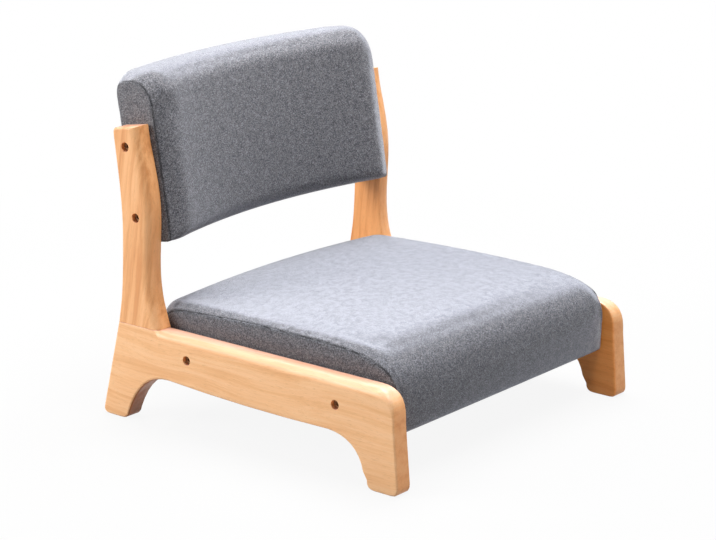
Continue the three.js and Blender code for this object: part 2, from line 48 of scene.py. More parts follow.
def pickOnly(thing):
    if bpy.context.mode != "OBJECT":
        bpy.ops.object.mode_set(mode="OBJECT")
    bpy.ops.object.select_all(action="DESELECT")
    thing.select_set(True)
    bpy.context.view_layer.objects.active = thing


def clamp(value, low, high):
    return min(max(value, low), high)


# Camera
photoCamera = {
    "lens": 123.5,
    "sensor": 36.0,
    "aim": (0.0, -0.011, 0.190),
    "azimuth": 39.21,
    "elevation": 16.16,
    "distance": 3.304,
    "clipEnd": 60,
}


def addCamera(view):
    turn, rise = math.radians(view["azimuth"]), math.radians(view["elevation"])
    back = Vector((math.sin(turn) * math.cos(rise), -math.cos(turn) * math.cos(rise), math.sin(rise)))
    bpy.ops.object.camera_add(location=Vector(view["aim"]) + back * view["distance"])
    camera = bpy.context.object
    camera.name = "photoCamera"
    camera.rotation_euler = back.to_track_quat("Z", "Y").to_euler()
    camera.data.lens = view["lens"]
    camera.data.sensor_width = view["sensor"]
    camera.data.clip_end = view["clipEnd"]
    bpy.context.scene.camera = camera
    bpy.context.scene.view_settings.view_transform = "Standard"


addCamera(photoCamera)
print("camera set")


# Nodes that the floor, the background and the materials share
def treeOf(holder):
    holder.use_nodes = True
    holder.node_tree.nodes.clear()
    return holder.node_tree


def nodeIn(tree, kind, place=(0, 0), **values):
    made = tree.nodes.new(kind)
    made.location = place
    for name, value in values.items():
        setattr(made, name, value)
    return made


def feed(tree, socket, value):
    # another node's output is linked, and a number or a colour is set
    if isinstance(value, bpy.types.NodeSocket):
        tree.links.new(value, socket)
    elif value is not None:
        socket.default_value = value


def filled(tree, made, *values):
    # sets or links a node's inputs in their order, and gives its first output
    for socket, value in zip(made.inputs, values):
        feed(tree, socket, value)
    return made.outputs[0]


def math2(tree, operation, a, b=None, place=(0, 0), clamped=False):
    made = nodeIn(tree, "ShaderNodeMath", place, operation=operation, use_clamp=clamped)
    return filled(tree, made, a, b)


def vector2(tree, operation, a, b, place=(0, 0)):
    return filled(tree, nodeIn(tree, "ShaderNodeVectorMath", place, operation=operation), a, b)


def combined(tree, x, y, z, place=(0, 0)):
    return filled(tree, nodeIn(tree, "ShaderNodeCombineXYZ", place), x, y, z)


def weighed(tree, first, firstShare, second, secondShare, place=(0, 0)):
    return math2(tree, "ADD", math2(tree, "MULTIPLY", first, firstShare),
                 math2(tree, "MULTIPLY", second, secondShare), place)


def spread(tree, value, low, high, newLow=0.0, newHigh=1.0, place=(0, 0)):
    made = nodeIn(tree, "ShaderNodeMapRange", place, interpolation_type="SMOOTHSTEP")
    limits = {"Value": value, "From Min": low, "From Max": high, "To Min": newLow, "To Max": newHigh}
    for label, limit in limits.items():
        feed(tree, made.inputs[label], limit)
    return made.outputs["Result"]


def noiseAt(tree, vector, scale, detail, rough, place=(0, 0), output="Fac"):
    made = nodeIn(tree, "ShaderNodeTexNoise", place)
    for label, value in {"Vector": vector, "Scale": scale, "Detail": detail, "Roughness": rough}.items():
        feed(tree, made.inputs[label], value)
    return made.outputs[output]


def noiseOn(tree, vector, layer, place=(0, 0)):
    # noise with a scale of its own along each axis
    scales, detail, rough = layer
    stretched = vector2(tree, "MULTIPLY", vector, scales, place)
    return noiseAt(tree, stretched, 1.0, detail, rough, (place[0] + 150, place[1]))


def cellsAt(tree, vector, scale, place=(0, 0)):
    made = nodeIn(tree, "ShaderNodeTexVoronoi", place)
    made.inputs["Scale"].default_value = scale
    tree.links.new(vector, made.inputs["Vector"])
    return made.outputs["Distance"]


def objectPoint(tree, place=(-1300, 0)):
    return nodeIn(tree, "ShaderNodeTexCoord", place).outputs["Object"]


def mixedShaders(tree, kind, factor, first, second):
    mix = filled(tree, nodeIn(tree, "ShaderNodeMixShader"), factor, first.outputs[0], second.outputs[0])
    tree.links.new(mix, nodeIn(tree, kind, (200, 0)).inputs["Surface"])


# Floor, light and background
studio = {
    "floorSize": 24.0,
    "floorColour": (0.39, 0.39, 0.39, 1),
    "shadowShare": 0.09,      # how much of the floor's own shading the camera sees near the chair
    "shadowReach": (0.55, 1.3),
    "ambient": 0.11,
    "ambientColour": (0.95, 0.97, 1.0, 1),
    "background": (1, 1, 1, 1),
    # name: place, aim, size, watts, colour
    "lamps": {
        "overhead": ((-0.35, 0.70, 2.2), (0.0, 0.0, 0.15), (1.6, 1.5), 102, (1.0, 1.0, 1.0)),
        "leftWindow": ((-1.75, -1.85, 1.25), (0.0, 0.0, 0.2), (1.5, 1.4), 70, (1.0, 0.985, 0.96)),
        "frontHigh": ((0.95, -0.3, 2.8), (0.0, 0.0, 0.25), (1.3, 1.2), 56, (1.0, 1.0, 1.0)),
    },
}


def showsPlain(tree):
    # 1 for camera, glossy and transmission rays, 0 for the light that reaches the object
    rays = nodeIn(tree, "ShaderNodeLightPath", (-700, 300)).outputs
    seen = math2(tree, "MAXIMUM", rays["Is Camera Ray"], rays["Is Glossy Ray"], (-500, 300))
    return math2(tree, "MAXIMUM", seen, rays["Is Transmission Ray"], (-330, 300))


def addFloor(setup):
    bpy.ops.mesh.primitive_plane_add(size=setup["floorSize"])
    floor = bpy.context.object
    floor.name = "studioFloor"
    material = bpy.data.materials.new("studioFloor")
    tree = treeOf(material)
    matt = nodeIn(tree, "ShaderNodeBsdfDiffuse", (-300, 0))
    matt.inputs["Color"].default_value = setup["floorColour"]
    glow = nodeIn(tree, "ShaderNodeEmission", (-300, -150))
    glow.inputs["Color"].default_value = setup["background"]
    # further off, the floor is as white as the background
    away = nodeIn(tree, "ShaderNodeVectorMath", (-700, 500), operation="LENGTH")
    tree.links.new(objectPoint(tree, (-900, 500)), away.inputs[0])
    near, far = setup["shadowReach"]
    white = spread(tree, away.outputs["Value"], near, far, 1 - setup["shadowShare"], 1, (-500, 500))
    share = math2(tree, "MULTIPLY", showsPlain(tree), white, (-150, 300))
    mixedShaders(tree, "ShaderNodeOutputMaterial", share, matt, glow)
    floor.data.materials.append(material)


def addWorld(setup):
    world = bpy.data.worlds.new("studioWorld")
    bpy.context.scene.world = world
    tree = treeOf(world)
    soft = nodeIn(tree, "ShaderNodeBackground", (-200, 0))
    soft.inputs["Color"].default_value = setup["ambientColour"]
    soft.inputs["Strength"].default_value = setup["ambient"]
    white = nodeIn(tree, "ShaderNodeBackground", (-200, -150))
    white.inputs["Color"].default_value = setup["background"]
    mixedShaders(tree, "ShaderNodeOutputWorld", showsPlain(tree), soft, white)


def addLamps(setup):
    for name, (place, aim, size, watts, colour) in setup["lamps"].items():
        bpy.ops.object.light_add(type="AREA", location=place)
        lamp = bpy.context.object
        lamp.name = name
        lamp.rotation_euler = (Vector(place) - Vector(aim)).to_track_quat("Z", "Y").to_euler()
        lamp.data.shape = "RECTANGLE"
        lamp.data.size, lamp.data.size_y = size
        lamp.data.energy = watts
        lamp.data.color = colour


addFloor(studio)
addWorld(studio)
addLamps(studio)
print("studio set")


# Shader groups
def newGroup(name, inputs, outputs):
    group = bpy.data.node_groups.new(name, "ShaderNodeTree")
    for label, kind in inputs:
        group.interface.new_socket(label, in_out="INPUT", socket_type=kind)
    for label in outputs:
        group.interface.new_socket(label, in_out="OUTPUT", socket_type="NodeSocketFloat")
    start = nodeIn(group, "NodeGroupInput", (-1400, 0))
    end = nodeIn(group, "NodeGroupOutput", (600, 0))
    return group, start, end


def groupIn(tree, group, vector, place):
    made = nodeIn(tree, "ShaderNodeGroup", place, node_tree=group)
    tree.links.new(vector, made.inputs["Vector"])
    return made


# a layer of noise is its scale or scales, its detail and its roughness
grainLook = {
    "sway": ((4.0, 9.0, 9.0), 2.0, 0.5), "swayReach": 0.035,
    "broad": ((3.0, 60.0, 85.0), 3.0, 0.55), "broadShare": 0.62,
    "rings": ((7.0, 190.0, 240.0), 3.0, 0.6), "ringShare": 0.38,
    "fibre": ((28.0, 900.0, 1100.0), 2.0, 0.6),
    "pores": ((90.0, 1500.0, 1700.0), 1.0, 0.5),
    "figureSpan": (0.36, 0.66), "poreSpan": (0.62, 0.72),
}


# Grain of a board that runs along the vector's X: broad figure, fine fibres, short pores
def makeBoardGrain(look):
    group, start, end = newGroup(
        "boardGrain", [("Vector", "NodeSocketVector")], ["Figure", "Fibre", "Pores"])
    vector = start.outputs["Vector"]
    sway = noiseOn(group, vector, look["sway"], (-1200, 300))
    shift = math2(group, "MULTIPLY", sway, look["swayReach"], (-900, 300))
    path = vector2(group, "ADD", vector, combined(group, 0.0, shift, shift, (-850, 120)), (-750, 200))
    broad = noiseOn(group, path, look["broad"], (-600, 300))
    rings = noiseOn(group, path, look["rings"], (-600, 100))
    figure = weighed(group, broad, look["broadShare"], rings, look["ringShare"], (-200, 200))
    pores = noiseOn(group, path, look["pores"], (-600, -300))
    made = {
        "Figure": spread(group, figure, *look["figureSpan"], place=(0, 200)),
        "Fibre": noiseOn(group, path, look["fibre"], (-600, -100)),
        "Pores": spread(group, pores, *look["poreSpan"], place=(0, -300)),
    }
    for label, value in made.items():
        group.links.new(value, end.inputs[label])
    return group


weaveLook = {
    "wander": (60, 1.0, 0.5), "wanderReach": 0.0022,
    "domePower": 0.6,
    "fibres": (1.0, 2.0, 0.7), "yarnStep": 3.7, "yarnRun": 0.34, "warpSeed": 1.3, "weftSeed": 9.1,
    "slub": ((420.0, 760.0, 1.0), 2.0, 0.6), "cross": ((760.0, 400.0, 1.0), 2.0, 0.6),
    "slow": ((110.0, 90.0, 1.0), 4.0, 0.75), "slowShare": 0.28,
    "yarnShare": 0.45,
    "fleckSpan": (0.36, 0.64), "tintSpan": (0.38, 0.62),
    "domeHeight": 0.7, "blotchHeight": 0.6,
}


# Plain weave of flecked yarns on a metric UV map
def makeHeatherWeave(look):
    group, start, end = newGroup(
        "heatherWeave", [("Vector", "NodeSocketVector"), ("Yarn", "NodeSocketFloat")],
        ["Fleck", "Tint", "Height"])
    vector, yarn = start.outputs["Vector"], start.outputs["Yarn"]
    # the yarns wander a little
    wobble = noiseAt(group, vector, *look["wander"], (-1200, 400), "Color")
    centred = vector2(group, "SUBTRACT", wobble, (0.5, 0.5, 0.5), (-1050, 400))
    small = vector2(group, "MULTIPLY", centred, [look["wanderReach"]] * 3, (-900, 400))
    moved = vector2(group, "ADD", vector, small, (-750, 400))
    inYarns = vector2(group, "DIVIDE", moved, combined(group, yarn, yarn, 1.0, (-750, 250)), (-600, 400))
    parts = nodeIn(group, "ShaderNodeSeparateXYZ", (-450, 400))
    group.links.new(inYarns, parts.inputs[0])
    across, along = parts.outputs["X"], parts.outputs["Y"]
    column = math2(group, "FLOOR", across, place=(-300, 500))
    row = math2(group, "FLOOR", along, place=(-300, 300))
    over = math2(group, "FLOORED_MODULO", math2(group, "ADD", column, row), 2.0, (0, 400))

    def bulge(run):
        return math2(group, "SINE", math2(group, "MULTIPLY", math2(group, "FRACT", run), math.pi))

    # each yarn has its own run of light and dark fibres
    def fibresOf(fixed, running, seed):
        place = combined(group, math2(group, "MULTIPLY", fixed, look["yarnStep"]),
                         math2(group, "MULTIPLY", running, look["yarnRun"]), seed, (-100, 0))
        return noiseAt(group, place, *look["fibres"], (100, 0))

    dome = math2(group, "POWER", math2(group, "MULTIPLY", bulge(across), bulge(along)),
                 look["domePower"], (200, 500))
    chosen = nodeIn(group, "ShaderNodeMix", (300, 100))
    group.links.new(over, chosen.inputs["Factor"])
    group.links.new(fibresOf(column, along, look["warpSeed"]), chosen.inputs["A"])
    group.links.new(fibresOf(row, across, look["weftSeed"]), chosen.inputs["B"])
    # slubs are thicker blotches a few yarns wide, with a slow change over a centimetre or so
    slub = noiseOn(group, vector, look["slub"], (-50, -200))
    cross = noiseOn(group, vector, look["cross"], (-50, -350))
    slow = noiseOn(group, vector, look["slow"], (-50, -600))
    fine = weighed(group, slub, 0.5, cross, 0.5, (200, -250))
    blotch = weighed(group, fine, 1 - look["slowShare"], slow, look["slowShare"], (300, -350))
    fleck = weighed(group, chosen.outputs["Result"], look["yarnShare"], blotch, 1 - look["yarnShare"])
    made = {
        "Fleck": spread(group, fleck, *look["fleckSpan"], place=(400, 200)),
        "Tint": spread(group, slow, *look["tintSpan"], place=(400, -600)),
        "Height": weighed(group, dome, look["domeHeight"], blotch, look["blotchHeight"], (400, 0)),
    }
    for label, value in made.items():
        group.links.new(value, end.inputs[label])
    return group


boardGrain = makeBoardGrain(grainLook)
heatherWeave = makeHeatherWeave(weaveLook)
print("shader groups made")


# Materials
def colourRamp(tree, factor, positions, colours, place=(0, 0)):
    ramp = nodeIn(tree, "ShaderNodeValToRGB", place)
    marks = ramp.color_ramp.elements
    while len(marks) < len(positions):
        marks.new(0.5)
    for mark, position, colour in zip(marks, positions, colours):
        mark.position = position
        mark.color = (*colour, 1)
    tree.links.new(factor, ramp.inputs["Fac"])
    return ramp.outputs["Color"]


def blended(tree, kind, factor, first, second, place=(0, 0)):
    mix = nodeIn(tree, "ShaderNodeMix", place, data_type="RGBA", blend_type=kind)
    for label, value in (("Factor", factor), ("A", first), ("B", second)):
        socket = next(s for s in mix.inputs if s.name == label and s.enabled)
        feed(tree, socket, (*value, 1) if isinstance(value, tuple) else value)
    return next(s for s in mix.outputs if s.enabled)


def surface(tree, colour, rough, height, relief, **others):
    shader = nodeIn(tree, "ShaderNodeBsdfPrincipled", (700, 0))
    bump = nodeIn(tree, "ShaderNodeBump", (500, -250))
    bump.inputs["Strength"].default_value, bump.inputs["Distance"].default_value = relief
    tree.links.new(height, bump.inputs["Height"])
    values = {"Base Color": colour, "Roughness": rough, "Normal": bump.outputs["Normal"], **others}
    for label, value in values.items():
        feed(tree, shader.inputs[label.replace("_", " ")], value)
    out = nodeIn(tree, "ShaderNodeOutputMaterial", (1000, 0))
    tree.links.new(shader.outputs[0], out.inputs["Surface"])


frameWood = {
    "pale": (0.87, 0.53, 0.285),
    "honey": (0.84, 0.48, 0.24),
    "dark": (0.765, 0.405, 0.185),
    "fibre": (0.82, 0.78, 0.74), "fibreSpan": (0.3, 0.62), "fibreShare": 0.35,
    "pore": (0.50, 0.24, 0.10), "poreShare": 0.45,
    "innerShadeTint": (1.02, 0.66, 0.32),      # painted shade, a deeper tone on the edges and inner faces
    "archShadeTint": (0.52, 0.42, 0.36),       # painted shade inside the arch
    "topHighlightTint": (0.90, 0.87, 1.20),      # painted highlight, a cooler, less saturated tone on faces that look up
    "rough": (0.36, 0.50), "fibreHeight": 0.5, "relief": (0.25, 0.0002),
    "coat": 0.10, "coatRough": 0.25, "gloss": 0.35,
}
# the posts: tones of their own, and a milder painted shade on their edges and inner faces
postLook = dict(
    frameWood, pale=(0.85, 0.475, 0.235), honey=(0.80, 0.415, 0.185), dark=(0.67, 0.30, 0.115),
    innerShadeTint=(1.12, 0.92, 0.68))
innerLook = dict(
    frameWood, pale=(0.80, 0.62, 0.40), honey=(0.72, 0.52, 0.31), dark=(0.60, 0.40, 0.22), coat=0.0)


def makeWood(name, look, offset, turn=(0, 0, 0)):
    material = bpy.data.materials.new(name)
    tree = treeOf(material)
    mapping = nodeIn(tree, "ShaderNodeMapping", (-1100, 0))
    for label, value in {"Vector": objectPoint(tree), "Location": offset, "Rotation": turn}.items():
        feed(tree, mapping.inputs[label], value)
    grain = groupIn(tree, boardGrain, mapping.outputs[0], (-900, 0))
    figure, fibre, pores = (grain.outputs[label] for label in ("Figure", "Fibre", "Pores"))
    tones = (look["pale"], look["honey"], look["dark"])
    base = colourRamp(tree, figure, (0.0, 0.5, 1.0), tones, (-600, 100))
    lines = colourRamp(tree, fibre, look["fibreSpan"], (look["fibre"], (1, 1, 1)), (-600, -100))
    fibred = blended(tree, "MULTIPLY", look["fibreShare"], base, lines, (-300, 100))
    colour = blended(tree, "MIX", math2(tree, "MULTIPLY", pores, look["poreShare"]), fibred, look["pore"],
                     (-100, 100))
    # painted light by the number that each face of the board is given: painted shade on the sides turned
    # towards the seat and inside the arch, a painted highlight on what looks up
    side = nodeIn(tree, "ShaderNodeAttribute", (-500, -300), attribute_name="paintedSideLight").outputs["Fac"]
    # painted shade on the sides turned towards the seat
    innerShade = math2(tree, "MAXIMUM", side, 0.0, (-300, -250), clamped=True)
    # painted shade inside the arch
    archShade = math2(tree, "SUBTRACT", side, 1.0, (-300, -550), clamped=True)
    # painted highlight: a cooler, less saturated tone on faces that look up
    crown = math2(tree, "MAXIMUM", math2(tree, "MULTIPLY", side, -1.0), 0.0, (-300, -400))
    for step, (share, tint) in enumerate(((innerShade, "innerShadeTint"), (archShade, "archShadeTint"), (crown, "topHighlightTint"))):
        colour = blended(tree, "MULTIPLY", share, colour, look[tint], (100 + 150 * step, 100))
    rough = spread(tree, figure, 0.0, 1.0, *look["rough"], place=(500, -50))
    height = math2(tree, "SUBTRACT", math2(tree, "MULTIPLY", fibre, look["fibreHeight"]), pores)
    surface(tree, colour, rough, height, look["relief"], Coat_Weight=look["coat"],
            Coat_Roughness=look["coatRough"], Specular_IOR_Level=look["gloss"])
    return material


fabricLook = {
    "dark": (0.040, 0.040, 0.047),
    "mid": (0.122, 0.123, 0.138),
    "light": (0.34, 0.345, 0.38), "toneStops": (0.0, 0.45, 1.0),
    "brown": (0.14, 0.11, 0.09), "brownShare": 0.12,
    "paintedSheen": (0.46, 0.48, 0.56),      # painted sheen: the pale colour the cloth takes where it is seen edge-on
    "paintedSheenFrom": 0.38, "paintedSheenTo": 0.66, "paintedSheenShare": 0.36, "paintedSheenEven": 0.70,
    # painted shade in the seam's groove
    "seam": (0.014, 0.014, 0.01645), "seamShadeShare": 0.95,
    "yarn": 0.0011,
    "rough": (0.95, 0.82), "relief": (0.55, 0.0006),
    "sheen": 0.7, "sheenRough": 0.3, "sheenTint": (0.92, 0.94, 1.0, 1), "gloss": 0.2,
}
# the seat's cloth is the backrest's cloth with darker tones, a painted shade, and a stronger painted sheen
shadedSeatClothLook = dict(
    fabricLook, mid=(0.102, 0.104, 0.120), light=(0.285, 0.295, 0.33), paintedSheenFrom=0.42, paintedSheenTo=0.60,
    paintedSheenShare=0.55)


def makeFabric(name, look):
    material = bpy.data.materials.new(name)
    tree = treeOf(material)
    uv = nodeIn(tree, "ShaderNodeUVMap", (-1300, 0), uv_map="clothMetres")
    weave = groupIn(tree, heatherWeave, uv.outputs[0], (-1000, 0))
    weave.inputs["Yarn"].default_value = look["yarn"]
    fleck, tint = weave.outputs["Fleck"], weave.outputs["Tint"]
    tones = (look["dark"], look["mid"], look["light"])
    base = colourRamp(tree, fleck, look["toneStops"], tones, (-700, 100))
    brown = math2(tree, "MULTIPLY", tint, look["brownShare"], (-600, 0))
    tinted = blended(tree, "MIX", brown, base, look["brown"], (-450, 100))
    # painted sheen: the colour pales where the surface is seen edge-on, a little unevenly
    facing = nodeIn(tree, "ShaderNodeLayerWeight", (-700, -500)).outputs["Facing"]
    sheenMask = spread(tree, facing, look["paintedSheenFrom"], look["paintedSheenTo"], 0.0, look["paintedSheenShare"], (-450, -500))
    uneven = spread(tree, tint, 0.0, 1.0, look["paintedSheenEven"], 1.0, (-450, -650))
    sheenedColour = blended(tree, "MIX", math2(tree, "MULTIPLY", sheenMask, uneven), tinted, look["paintedSheen"], (-300, 0))
    # painted shade in the seam's groove
    seam = nodeIn(tree, "ShaderNodeAttribute", (-700, -300), attribute_name="seamShade").outputs["Fac"]
    seamed = math2(tree, "MULTIPLY", seam, look["seamShadeShare"], (-450, -300))
    colour = blended(tree, "MIX", seamed, sheenedColour, look["seam"], (-200, 100))
    rough = spread(tree, fleck, 0.0, 1.0, *look["rough"], place=(400, -50))
    surface(tree, colour, rough, weave.outputs["Height"], look["relief"], Sheen_Weight=look["sheen"],
            Sheen_Roughness=look["sheenRough"], Sheen_Tint=look["sheenTint"],
            Specular_IOR_Level=look["gloss"])
    return material


# name: dull colour, bright colour, roughness, how metallic
metalLooks = {
    "bronzedSteel": ((0.22, 0.115, 0.05), (0.36, 0.20, 0.095), 0.5, 0.4),
    "zincSteel": ((0.42, 0.43, 0.44), (0.66, 0.67, 0.68), 0.35, 1.0),
    "threadBrass": ((0.52, 0.36, 0.12), (0.78, 0.58, 0.25), 0.32, 1.0),
}
metalFinish = {
    "patches": (420, 3.0, 0.6), "patchStops": (0.35, 0.65),
    "lines": ((900.0, 9000.0, 900.0), 2.0, 0.6), "lineSpan": (0.3, 0.7),
    "smoother": 0.08, "rougher": 0.12, "relief": (0.2, 0.0001),
}


def makeMetal(name, finish, dull, bright, rough, metallic):
    material = bpy.data.materials.new(name)
    tree = treeOf(material)
    point = objectPoint(tree)
    patches = noiseAt(tree, point, *finish["patches"], (-800, 100))
    lines = noiseOn(tree, point, finish["lines"], (-950, -150))
    colour = colourRamp(tree, patches, finish["patchStops"], (dull, bright), (-500, 100))
    roughness = spread(tree, lines, *finish["lineSpan"], rough - finish["smoother"],
                       rough + finish["rougher"], (-500, -150))
    surface(tree, colour, roughness, lines, finish["relief"], Metallic=metallic)
    return material


plyLook = {
    "face": ((0.72, 0.55, 0.36), (0.60, 0.42, 0.25)), "faceStops": (0.0, 1.0),
    "core": ((0.44, 0.28, 0.16), (0.55, 0.38, 0.22)), "coreStops": (0.3, 0.7),
    "rough": 0.62, "relief": (0.3, 0.0002),
}


def makePlies(name, look, axis, pitch):
    material = bpy.data.materials.new(name)
    tree = treeOf(material)
    point = objectPoint(tree)
    grain = groupIn(tree, boardGrain, point, (-900, 100))
    parts = nodeIn(tree, "ShaderNodeSeparateXYZ", (-1100, -200))
    tree.links.new(point, parts.inputs[0])
    layer = math2(tree, "FLOORED_MODULO", math2(tree, "DIVIDE", parts.outputs[axis], pitch), 2.0)
    face = colourRamp(tree, grain.outputs["Figure"], look["faceStops"], look["face"], (-600, 100))
    core = colourRamp(tree, grain.outputs["Fibre"], look["coreStops"], look["core"], (-600, -100))
    colour = blended(tree, "MIX", math2(tree, "GREATER_THAN", layer, 1.0), face, core)
    surface(tree, colour, look["rough"], grain.outputs["Fibre"], look["relief"])
    return material


liningLook = {
    "colours": ((0.012, 0.012, 0.013), (0.045, 0.045, 0.048)), "stops": (0.3, 0.7),
    "fibres": (700, 3.0, 0.7), "cells": 520, "rough": 0.9, "relief": (0.4, 0.0003), "sheen": 0.2,
}


def makeLining(name, look):
    material = bpy.data.materials.new(name)
    tree = treeOf(material)
    point = objectPoint(tree)
    fibres = noiseAt(tree, point, *look["fibres"], (-1000, 100))
    colour = colourRamp(tree, fibres, look["stops"], look["colours"], (-600, 100))
    height = math2(tree, "ADD", cellsAt(tree, point, look["cells"], (-1000, -150)), fibres)
    surface(tree, colour, look["rough"], height, look["relief"], Sheen_Weight=look["sheen"])
    return material


foamLook = {
    "colours": ((0.55, 0.50, 0.34), (0.80, 0.76, 0.58)), "stops": (0.0, 0.6),
    "cells": 900, "rough": 0.95, "relief": (0.5, 0.0004),
}


def makeFoam(name, look):
    material = bpy.data.materials.new(name)
    tree = treeOf(material)
    cells = cellsAt(tree, objectPoint(tree), look["cells"], (-1000, 0))
    colour = colourRamp(tree, cells, look["stops"], look["colours"], (-600, 100))
    surface(tree, colour, look["rough"], cells, look["relief"])
    return material


postLean = math.radians(9.5)      # of the posts and the backrest
upPost, upright, sideways = (0, math.pi / 2 - postLean, 0), (0, math.pi / 2, 0), (0, 0, math.pi / 2)
railWood = {
    "right": makeWood("railWoodRight", frameWood, (0.11, 0.02, 0.013)),
    "left": makeWood("railWoodLeft", frameWood, (0.47, 0.31, 0.27)),
}
postWood = {
    "right": makeWood("postWoodRight", postLook, (0.23, 0.07, 0.05), upPost),
    "left": makeWood("postWoodLeft", postLook, (0.71, 0.17, 0.35), upPost),
}
innerWood = {
    "along": makeWood("innerWoodAlong", innerLook, (0.3, 0.1, 0.6)),
    "across": makeWood("innerWoodAcross", innerLook, (0.1, 0.5, 0.2), sideways),
    "up": makeWood("innerWoodUp", innerLook, (0.8, 0.2, 0.4), upright),
}
dowelWood = makeWood("dowelWood", innerLook, (0.05, 0.9, 0.7), upright)
seatPly = makePlies("seatPly", plyLook, "Z", 0.0024)
backPly = makePlies("backPly", plyLook, "X", 0.0020)
seatFabric = makeFabric("seatFabric", shadedSeatClothLook)
backFabric = makeFabric("backrestFabric", fabricLook)
liningCloth = makeLining("liningCloth", liningLook)
paddingFoam = makeFoam("paddingFoam", foamLook)
metals = {name: makeMetal(name, metalFinish, *look) for name, look in metalLooks.items()}
print("materials made:", len(bpy.data.materials))


# Wooden side frames
woodFinish = {
    "weldWithin": 0.00001,
    "flatAngle": 0.6,        # faces within this many degrees become one
    "softEdge": 0.0010, "softSteps": 2,      # sanded edge
    "edgeAngle": 38,
    "smoothAngle": 32,
    "innerShadeGain": 1.3,        # how soon a side turned inwards takes the whole painted shade
    "upHighlightPower": 1.5,          # how soon a side turned up takes the whole painted highlight
    # the box under the arch whose faces take the painted shade
    "archRun": (-0.225, 0.10), "archRise": (0.004, 0.078),
    "archTurn": 0.6, "archLevel": -0.5,      # what faces sideways or up is left out
}


def copyOfNode(name, label, finish):
    copy = bpy.data.objects.new(label, nodes[name].data.copy())
    bpy.context.scene.collection.objects.link(copy)
    copy.data.materials.clear()
    pickOnly(copy)
    bpy.ops.object.mode_set(mode="EDIT")
    bpy.ops.mesh.select_all(action="SELECT")
    bpy.ops.mesh.remove_doubles(threshold=finish["weldWithin"])
    bpy.ops.mesh.normals_make_consistent(inside=False)
    bpy.ops.object.mode_set(mode="OBJECT")
    return copy


def markPaintedSideLight(board, out, finish):
    # painted light by the way each face turns: 2 for painted shade inside the arch, 1 for painted shade on
    # the face towards the seat, 0 on the outer face, -1 for a painted highlight on what looks up
    rearEnd, frontEnd = finish["archRun"]
    foot, archTop = finish["archRise"]
    data = board.data
    side = data.attributes.new("paintedSideLight", "FLOAT", "CORNER")
    for face in data.polygons:
        inward = 0.5 - 0.5 * face.normal.y * out
        share = min(inward * finish["innerShadeGain"], 1.0)
        if face.normal.z > 0:
            share += (-1 - share) * face.normal.z ** finish["upHighlightPower"]
        underArch = rearEnd < face.center.x < frontEnd and foot < face.center.z < archTop
        if underArch and abs(face.normal.y) < finish["archTurn"] and share > finish["archLevel"]:
            share = 2
        for corner in face.loop_indices:
            side.data[corner].value = share


def sandedBoard(name, label, material, finish):
    board = copyOfNode(name, label, finish)
    bpy.ops.object.mode_set(mode="EDIT")
    bpy.ops.mesh.select_all(action="SELECT")
    bpy.ops.mesh.dissolve_limited(angle_limit=math.radians(finish["flatAngle"]))
    bpy.ops.object.mode_set(mode="OBJECT")
    bevel = board.modifiers.new("softEdge", "BEVEL")
    bevel.width = finish["softEdge"]
    bevel.segments = finish["softSteps"]
    bevel.limit_method = "ANGLE"
    bevel.angle_limit = math.radians(finish["edgeAngle"])
    bevel.harden_normals = False
    bpy.ops.object.modifier_apply(modifier="softEdge")
    bpy.ops.object.shade_smooth_by_angle(angle=math.radians(finish["smoothAngle"]))
    even = board.modifiers.new("evenShade", "WEIGHTED_NORMAL")
    even.keep_sharp = True
    bpy.ops.object.modifier_apply(modifier="evenShade")
    board.data.materials.append(material)
    markPaintedSideLight(board, 1 if name.startswith("left") else -1, finish)
    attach(board, "root")
    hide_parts(name)


for hand in ("right", "left"):
    sandedBoard(f"{hand}_side_rail", f"{hand}RailBoard", railWood[hand], woodFinish)
    sandedBoard(f"{hand}_back_post", f"{hand}PostBoard", postWood[hand], woodFinish)
print("side frames made")


# Cushions
# A cushion is a box of cells. Each row across the chair has a section with four sides, and the
# cells follow them: i from rear to front, j from the right end to the left, k from bottom to top.
def toTenths(size):
    # the frame's sizes, to a tenth of a millimetre
    return round(size, 4)


seatLow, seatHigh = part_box("seat_cover")
boltLow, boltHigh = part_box("right_back_lower_bolt")
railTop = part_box("right_side_rail")[1].z
setBack = 0.0002      # the cushions stand this far behind their solids

cushionLook = {
    "half": toTenths(seatHigh.y), "rowsAcross": 58,
    "slack": 0.0012, "cap": 0.0030, "quality": 6, "mass": 0.3, "frames": 20,
    "tension": 12.0, "bending": 0.6, "pressure": 4.0,
    "seamWidth": 0.0030, "seamSteps": 4, "seamProfile": 0.62, "seamSpacing": 0.0008,
    "puckerPitch": 0.010, "puckerSeed": 3.1,
    "fill": 0.85,
}
underOffset, endOffset = 0.7, 0.9      # these panels lie apart from the main strip on the UV map
fullWeight = 0.99


def runOf(line):
    # the length of a polyline up to each of its points
    total = [0.0]
    for a, b in zip(line, line[1:]):
        total.append(total[-1] + (b - a).length)
    return total


def evenly(points, count):
    # a polyline as count + 1 points at even distances
    lengths = runOf(points)
    spaced, step = [], 0
    for k in range(count + 1):
        goal = lengths[-1] * k / count
        while step < len(points) - 2 and lengths[step + 1] < goal:
            step += 1
        span = max(lengths[step + 1] - lengths[step], 1e-9)
        spaced.append(points[step].lerp(points[step + 1], clamp((goal - lengths[step]) / span, 0, 1)))
    return spaced


def bezier(points, steps):
    made = []
    for k in range(steps + 1):
        row, share = list(points), k / steps
        while len(row) > 1:
            row = [a.lerp(b, share) for a, b in zip(row, row[1:])]
        made.append(row[0])
    return made


def patchPoint(rear, front, low, high, s, h, i, k):
    # a point inside four sides that meet at their ends
    sides = rear[k] * (1 - s) + front[k] * s + low[i] * (1 - h) + high[i] * h
    corners = (low[0] * (1 - s) * (1 - h) + low[-1] * s * (1 - h)
               + high[0] * (1 - s) * h + high[-1] * s * h)
    return sides - corners


